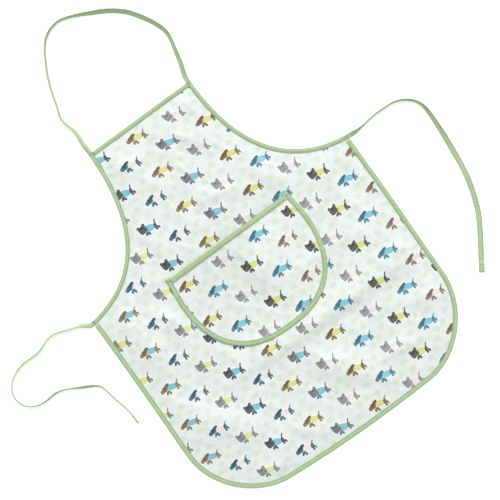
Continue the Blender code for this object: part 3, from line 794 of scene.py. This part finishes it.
def bar_tack(name, middle, across):
    """Eight back-and-forth stitches across the tape: a zigzag of thread."""
    along = np.array((-across[1], across[0]))
    swing = np.where(np.arange(TACK_POINTS) % 2, TACK_SWING, -TACK_SWING)
    spread = np.linspace(-TACK_LENGTH / 2, TACK_LENGTH / 2, TACK_POINTS)
    points = middle[:2] + spread[:, None] * across + swing[:, None] * along
    line = np.column_stack((points, np.full(TACK_POINTS, middle[2])))
    fine = resampled(line, TACK_STEP)
    circle = THREAD_RADIUS * np.stack((np.cos(AROUND_THREAD), np.sin(AROUND_THREAD)), 1)
    run = unit(np.gradient(fine, axis=0))
    side = np.cross(run, UP)
    rings = carried(fine, side, np.tile(UP, (len(fine), 1)), circle)
    faces = tube_faces(len(fine), THREAD_SIDES)
    return piece(name, rings.reshape(-1, 3), faces, rings.reshape(-1, 3)[:, :2], (sewing_thread,))


def dress(made, node_name, body="apron"):
    """Puts the piece in its node's place, on this body."""
    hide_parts(node_name)
    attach(made, body)


def bind(name, path, base, off_flat, width=TAPE_WIDTH, into=None):
    """A length of binding with its row of stitches, in place of the nodes that have the same name."""
    made, line = binding(f"{name}_tape", path, base, off_flat, width, into)
    dress(made, f"{name}_binding")
    made = stitches(f"{name}_stitching", line, flat_normals(line))
    dress(made, f"{name}_seam")


right_armhole = resampled(lay(armhole_cut) - ORIGIN, TAPE_STEP)
left_armhole = resampled(lay(mirrored(armhole_cut)) - ORIGIN, TAPE_STEP)
for side, path in (("right", right_armhole), ("left", left_armhole)):
    bind(f"{side}_armhole", path, 0.0, rise, BIB_TAPE_WIDTH)
    into = inward(path)
    for spot_name, end, inner in (("bib", 0, 1), ("waist", -1, -2)):
        if side == "left":
            end, inner = -1 - end, -1 - inner
        run = unit(path[inner] - path[end])
        middle = path[end] + run * TACK_IN + unit(into[end]) * BIB_TAPE_WIDTH / 2
        middle = (*middle, BINDING_HEIGHT + TACK_LIFT)
        made = bar_tack(f"{side}_{spot_name}_tacking", middle, unit(into[end]))
        dress(made, f"{side}_{spot_name}_tack")

clear = BIB_TAPE_WIDTH + GAP
bib_edge = unit(corners[0] - corners[3])
bib_top = resampled(np.stack((corners[3] + bib_edge * clear, corners[0] - bib_edge * clear)), TAPE_STEP)
bind("bib_top", bib_top, 0.0, rise, BIB_TAPE_WIDTH)

skirt = resampled(lay(skirt_cut) - ORIGIN, TAPE_STEP)
skirt_along = distances(skirt)
skirt = skirt[(skirt_along > clear) & (skirt_along < skirt_along[-1] - clear)]
skirt_into = inward(skirt)
for here, tape_run in ((0, right_armhole[-2:]), (-1, left_armhole[:2])):
    cut_line = tape_run[1] - tape_run[0]
    skirt_into[here] = cut_line / (cut_line @ skirt_into[here])
bind("skirt", skirt, 0.0, rise, into=skirt_into)

# ------------------------------
# The pocket: a half moon of the same printed cotton, bound like the body and topstitched on through its
# tape. It is sewn on a little full, so its mouth stands off the body by up to 8 mm in the middle.
POCKET_X, POCKET_MOUTH_Y, POCKET_MOUTH_HALF = 0.0015, 0.0616, 0.117
POCKET_WIDEST_HALF, POCKET_WIDEST_DROP = 0.1215, 0.042
POCKET_CURVE_DROP, POCKET_SQUARENESS = 0.1295, 2.45
POCKET_GAPE, POCKET_GAPE_DEPTH = 0.008, 0.132
POCKET_Z = PANEL_TOP + GAP
MOUTH_TAPE_WIDTH = 0.0086
CORNER_TIP = 0.0028
# How far the mouth's tape runs under the edge's, how near the middle the rows of cloth stop, and their step.
MOUTH_OVERLAP, POCKET_ROWS_END, POCKET_CLOTH_STEP = 0.0012, 0.004, CLOTH_STEP * 0.7

widest = POCKET_MOUTH_Y - POCKET_WIDEST_DROP
quarter = np.linspace(0, math.pi / 2, 90)
pocket_side = np.linspace((POCKET_MOUTH_HALF, POCKET_MOUTH_Y), (POCKET_WIDEST_HALF, widest), 16)
pocket_x = POCKET_WIDEST_HALF * np.cos(quarter) ** (2 / POCKET_SQUARENESS)
pocket_y = widest - POCKET_CURVE_DROP * np.sin(quarter) ** (2 / POCKET_SQUARENESS)
pocket_half = np.concatenate((pocket_side[:-1], np.stack((pocket_x, pocket_y), 1)))
pocket_cut = np.concatenate((pocket_half, mirrored(pocket_half)[1:])) + (POCKET_X, 0)
pocket_line = resampled(lay(pocket_cut) - ORIGIN, TAPE_STEP)
mouth_middle = (pocket_line[0] + pocket_line[-1]) / 2
tips = [line[0] + unit(line[0] - line[1]) * CORNER_TIP for line in (pocket_line, pocket_line[::-1])]
pocket_tape_line = np.concatenate((tips[:1], pocket_line, tips[1:]))


def stand_off(points):
    """The body's rise plus the pocket's gape: a squared parabola across the mouth that fades with the
    square of the distance below it."""
    across = np.clip(1 - ((points[..., 0] - mouth_middle[0]) / POCKET_MOUTH_HALF) ** 2, 0, 1)
    down = np.clip(1 - (mouth_middle[1] - points[..., 1]) / POCKET_GAPE_DEPTH, 0, 1)
    return rise(points) + POCKET_GAPE * across**2 * np.minimum(down, 1) ** 2


# The pocket is cut from the same cloth further across, where the print's columns and rows fall like this.
POCKET_PRINT_COLUMNS = (7.770, 9.003, -0.220)
POCKET_PRINT_ROWS = (-1.063, 0.028, 4.624)

pocket_edge = pocket_half[pocket_half[:, 0] > POCKET_ROWS_END]
pocket_edge = pocket_edge + RAW_EDGE * inward(pocket_edge)
pocket_edge[0, 1] = POCKET_MOUTH_Y - RAW_EDGE
pocket_grid = cloth_grid(pocket_edge, POCKET_CLOTH_STEP) + (POCKET_X, 0)
pocket_laid = lay(pocket_grid) - ORIGIN
pocket_top = np.dstack((pocket_laid, POCKET_Z + PANEL_TOP + stand_off(pocket_laid)))
pocket_print = on_print(pocket_grid, POCKET_PRINT_COLUMNS, POCKET_PRINT_ROWS)
pocket_cloth = cloth("pocket_cloth", pocket_top, pocket_print, (printed_face, bare_back))
dress(pocket_cloth, "pocket_panel")

bind("pocket_edge", pocket_tape_line, POCKET_Z, stand_off)
for side, end, inner in (("right", 0, 1), ("left", -1, -2)):
    into = unit(inward(pocket_line)[end])
    run = unit(pocket_line[inner] - pocket_line[end])
    middle = pocket_line[end] + run * TACK_IN + into * TAPE_WIDTH / 2
    height = POCKET_Z + BINDING_HEIGHT + POCKET_TACK_LIFT + float(stand_off(middle[None])[0])
    made = bar_tack(f"{side}_pocket_tacking", (*middle, height), into)
    dress(made, f"{side}_pocket_tack")

mouth_run = unit(pocket_line[0] - pocket_line[-1])
mouth_clear = TAPE_WIDTH - MOUTH_OVERLAP
mouth = np.stack((pocket_line[-1] + mouth_run * mouth_clear, pocket_line[0] - mouth_run * mouth_clear))
bind("pocket_mouth", resampled(mouth, TAPE_STEP), POCKET_Z, stand_off, MOUTH_TAPE_WIDTH)

# ------------------------------
# The neck loop and the two waist ties: the armholes' tape running on past the corners, folded flat on
# itself to 9 mm and stitched along its open edge. It is limp, lies on the table, and mostly stands on its
# edge. Routes give x, y in millimetres and how far the tape is turned on edge, in degrees.
STRAP_WIDTH, STRAP_THICK, STRAP_SEAM_IN, STRAP_RISE = 0.0090, 0.0016, 0.0014, 0.0003
STRAP_HEM, STRAP_HEM_THICK, STRAP_ROOT, STRAP_SPREADS = 0.017, 0.0024, 0.004, 0.025
STRAP_RING = 0.0015
STRAP_TUCK, STRAP_BEND = 0.0006, 0.012
# In section: points round it, swell over its thickness, dip at the seam, the dip's width, and the power
# that rounds its edges. Along it: puckers over its thickness, and their spacing.
STRAP_SIDES, STRAP_SWELL, STRAP_DIP, STRAP_DIP_WIDE, STRAP_EDGE = 36, 0.22, 0.00025, 0.0005, 0.4
STRAP_PUCKER, STRAP_PUCKER_SPACING = 0.10, 0.0046
# The hem's step, how far short of it the seam stops, and its cross stitch: rings in, points and length.
HEM_STEP, HEM_CLEAR, CROSS_IN, CROSS_POINTS, CROSS_STITCH = 0.001, 0.004, 3, 9, 0.0020
# Over what distance the turn on edge is smoothed to each side, and how far from the root it is held.
TURN_REACH, TURN_HELD = 0.008, 0.003
THREAD_SUNK = 0.0001
NECK_LOOP_ROUTE = (
    (-100, 312, 50), (-99, 326, 56), (-100, 340, 60), (-104, 354, 69), (-105, 367, 78), (-101, 380, 80),
    (-93, 408, 78), (-83, 434, 78), (-70, 459, 78), (-53, 481, 78), (-41, 488, 80), (-27, 491.5, 80),
    (-13, 490, 79), (0, 485.5, 72), (13, 480, 66), (25, 474, 56), (38, 468, 44), (61, 453.5, 44),
    (72, 444, 40), (81, 433, 42), (96, 409, 45), (102, 396, 46), (105.5, 383, 52), (105, 370, 52),
    (102, 356, 46), (96, 329, 36),
)
LEFT_TIE_ROUTE = (
    (-259, 81, 42), (-271.5, 86.5, 76), (-285, 91, 79), (-299, 95.5, 78), (-312, 97.5, 80), (-326, 93.5, 72),
    (-339, 88.5, 71), (-353, 87, 66), (-367, 87, 69), (-381, 84.5, 72), (-394, 78.5, 77), (-404.5, 69, 79),
    (-411, 56.5, 78), (-410.5, 42.5, 78), (-404, 30, 78), (-393, 22, 80), (-380, 19, 79), (-366, 19.5, 72),
    (-352, 20, 73), (-339, 16, 79), (-326, 9.5, 74), (-314, 3, 58), (-301.5, -3.5, 62), (-291.5, -12, 76),
    (-287.5, -26, 75), (-281, -53, 75), (-278, -67, 77), (-276.5, -91, 78),
)
RIGHT_TIE_ROUTE = (
    (259, 87.5, 52), (273, 89, 76), (286, 91, 79), (300, 92.5, 80), (314, 92.5, 78), (328.5, 92, 80),
    (342, 88.5, 79), (354, 81, 75), (363, 71, 76), (368, 57, 62), (369, 43, 52), (368.5, 15, 38),
    (368, 1, 20), (367, -13, 8), (365, -41, 0), (361, -69, 0), (354, -96, 0), (344.5, -122, 0),
    (331.5, -146, 0), (316.5, -170, 0), (295, -204, 0),
)


def spline(points, step):
    """The natural cubic spline through the points over their chord length, a point every step. The turn on
    edge goes straight from point to point and is then smoothed by a moving mean."""
    knots = distances(points[:, :2])
    gaps = np.diff(knots)
    slopes = np.diff(points[:, :2], axis=0) / gaps[:, None]
    system = np.diag(np.concatenate(((1.0,), 2 * (gaps[:-1] + gaps[1:]), (1.0,))))
    system += np.diag(np.concatenate((gaps[:-1], (0.0,))), -1)
    system += np.diag(np.concatenate(((0.0,), gaps[1:])), 1)
    right = np.zeros((len(knots), 2))
    right[1:-1] = 6 * np.diff(slopes, axis=0)
    bends = np.linalg.solve(system, right)
    s = np.linspace(0, knots[-1], round(knots[-1] / step) + 1)
    i = np.clip(np.searchsorted(knots, s, "right") - 1, 0, len(knots) - 2)
    gap, a, b = gaps[i][:, None], (knots[i + 1] - s)[:, None], (s - knots[i])[:, None]
    curve = (
        (bends[i] * a**3 + bends[i + 1] * b**3) / (6 * gap)
        + (points[i, :2] / gap - bends[i] * gap / 6) * a
        + (points[i + 1, :2] / gap - bends[i + 1] * gap / 6) * b
    )
    turn = np.interp(s, knots, points[:, 2])
    reach = round(TURN_REACH / step)
    padded = np.pad(turn, reach, mode="edge")
    turn = np.convolve(padded, np.ones(2 * reach + 1) / (2 * reach + 1), "valid")
    turn[s < TURN_HELD] = turn[0]
    return curve, np.radians(turn)


def strap_section(width, thick):
    """Flat-folded tape in section: across is a cosine of the way round, and the height is half the
    thickness with a swell along the middle and a dip at the seam, rounded off at both edges."""
    way = np.linspace(0, 2 * math.pi, STRAP_SIDES, endpoint=False)
    across = width[:, None] / 2 * np.cos(way)
    seam_at = width[:, None] / 2 - STRAP_SEAM_IN
    half = thick[:, None] / 2 * (1 + STRAP_SWELL * np.cos(math.pi * across / width[:, None]))
    half = half - STRAP_DIP * np.exp(-(((across - seam_at) / STRAP_DIP_WIDE) ** 2))
    return np.stack((across, half * np.sign(np.sin(way)) * np.abs(np.sin(way)) ** STRAP_EDGE), -1)


def strap_root(path, first):
    """Where a strap takes over from its armhole's tape, and a second point straight on from there."""
    corner, inner = (path[0], path[1]) if first else (path[-1], path[-2])
    into = unit(inward(path)[0 if first else -1])
    outwards = unit(corner - inner)
    start = corner + BIB_TAPE_WIDTH / 2 * into - STRAP_TUCK * outwards
    return [(*start, 0.0), (*(start + STRAP_ROOT * outwards), 0.0)]


def strap(name, route, hem):
    """The free tape: its section carried along the spline, across it by the turn on edge, and its lower
    edge on the table. A hemmed end is doubled over and held by a cross stitch."""
    path, turn = spline(np.array(route), STRAP_RING)
    run = unit(np.gradient(path, axis=0))
    along = distances(path)
    flat = np.column_stack((-run[:, 1], run[:, 0], np.zeros(len(path))))
    across = np.cos(turn)[:, None] * flat + np.sin(turn)[:, None] * UP
    face = -np.sin(turn)[:, None] * flat + np.cos(turn)[:, None] * UP
    from_root = along if hem else np.minimum(along, along[-1] - along)
    free = np.clip(from_root / STRAP_SPREADS, 0, 1)
    width = BIB_TAPE_WIDTH + (STRAP_WIDTH - BIB_TAPE_WIDTH) * free
    thick = np.full(len(path), STRAP_THICK)
    if hem:
        hem_from = along[-1] - STRAP_HEM
        thick += (STRAP_HEM_THICK - STRAP_THICK) * smooth(along, hem_from, hem_from + HEM_STEP)
    thick *= 1 + STRAP_PUCKER * np.sin(along * 2 * math.pi / STRAP_PUCKER_SPACING + 1.5 * np.sin(along * 70))
    section = strap_section(width, thick)
    height = -(section[..., 0] * np.sin(turn)[:, None] + section[..., 1] * np.cos(turn)[:, None]).min(1)
    centres = np.column_stack((path, height + STRAP_RISE * (1 - free)))
    rings = carried(centres, across, face, section)
    spots = section + (STRAP_WIDTH / 2, 0)
    made = tape(name + "_tape", rings, spots, along)
    seam_line = centres + across * (width / 2 - STRAP_SEAM_IN)[:, None]
    seam_line = seam_line + face * (thick / 2 - THREAD_SUNK)[:, None]
    keep = along < along[-1] - (STRAP_HEM + HEM_CLEAR if hem else 0)
    sewn = stitches(name + "_stitching", seam_line[keep], face[keep])
    return made, sewn, centres, face, across


def route(points):
    """The same route in metres and degrees."""
    return [(x / 1000, y / 1000, turn) for x, y, turn in points]


loop_end = strap_root(right_armhole, True)[::-1]
loop_points = [*strap_root(left_armhole, False), *route(NECK_LOOP_ROUTE), *loop_end]
left_points = [*strap_root(left_armhole, True), *route(LEFT_TIE_ROUTE)]
right_points = [*strap_root(right_armhole, False), *route(RIGHT_TIE_ROUTE)]
for name, points, hem in (
    ("neck_loop", loop_points, False),
    ("left_tie", left_points, True),
    ("right_tie", right_points, True),
):
    made, sewn, centres, face, across = strap(name, points, hem)
    for bending, node_name, slot in ((made, name, "green_bias_tape"), (sewn, name + "_seam", "green_thread")):
        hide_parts(node_name)
        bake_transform(bending)
    if hem:
        here = np.argmax(distances(centres) > distances(centres)[-1] - STRAP_HEM) + CROSS_IN
        reach = np.linspace(-1, 1, CROSS_POINTS)[:, None] * (STRAP_WIDTH / 2 - STRAP_SEAM_IN)
        line = centres[here] + reach * across[here] + face[here] * (STRAP_HEM_THICK / 2 + THREAD_SUNK)
        normals = np.tile(face[here], (CROSS_POINTS, 1))
        cross = stitches(name + "_end_stitching", line, normals, skip=0.0, stitch=CROSS_STITCH)
        dress(cross, name + "_end_stitch", name)

size = {
    "cad": [list(corner) for corner in cad_box],
    "visual": [list(corner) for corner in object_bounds()],
}
